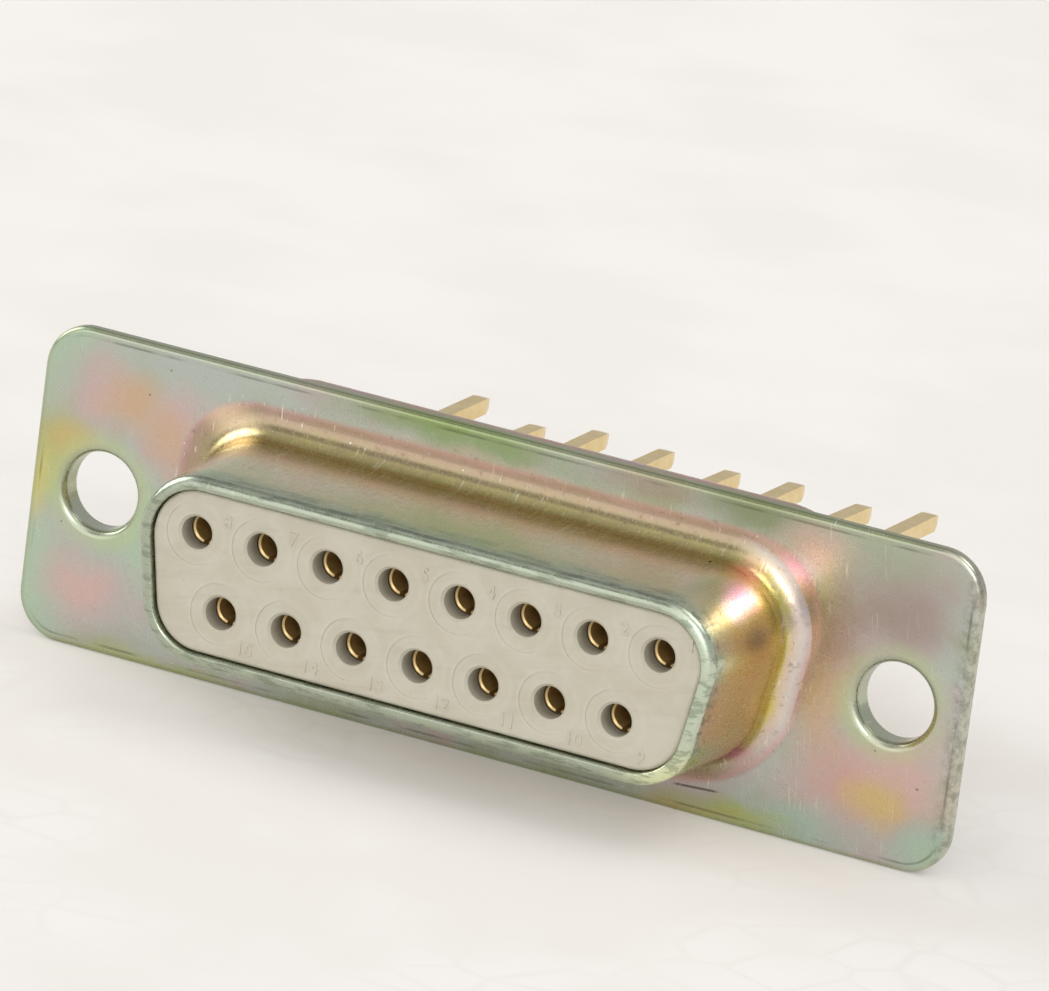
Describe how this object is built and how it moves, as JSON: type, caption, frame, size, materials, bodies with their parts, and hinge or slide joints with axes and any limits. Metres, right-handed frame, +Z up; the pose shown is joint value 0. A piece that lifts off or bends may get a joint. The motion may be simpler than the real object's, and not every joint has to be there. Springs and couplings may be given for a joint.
{
  "type": "d-sub socket connector",
  "caption": "Panel-mount D-sub socket connector with two rows of contacts, chromated steel shells and long straight square posts.",
  "frame": {"origin": "centre of the flange's front face, midway between the mounting holes", "axes": "-Y faces the plug, +X runs along the flange towards contact 1, +Z is up, on the side of the wider row"},
  "size_m": [0.0392, 0.0246, 0.0126],
  "materials": {
    "chromate_front": "yellow-chromated zinc plate on drawn steel",
    "chromate_rear": "yellow-chromated zinc plate on drawn steel",
    "insulator": "moulded glass-filled polyester, matte",
    "contact": "thin gold over brass"
  },
  "bodies": {
    "root": {"front_shell": "chromate_front", "rear_shell": "chromate_rear", "front_insulator": "insulator", "rear_insulator": "insulator", "contact_1": "contact", "contact_2": "contact", "contact_3": "contact", "contact_4": "contact", "contact_5": "contact", "contact_6": "contact", "contact_7": "contact", "contact_8": "contact", "contact_9": "contact", "contact_10": "contact", "contact_11": "contact", "contact_12": "contact", "contact_13": "contact", "contact_14": "contact", "contact_15": "contact"}
  },
  "joints": []
}
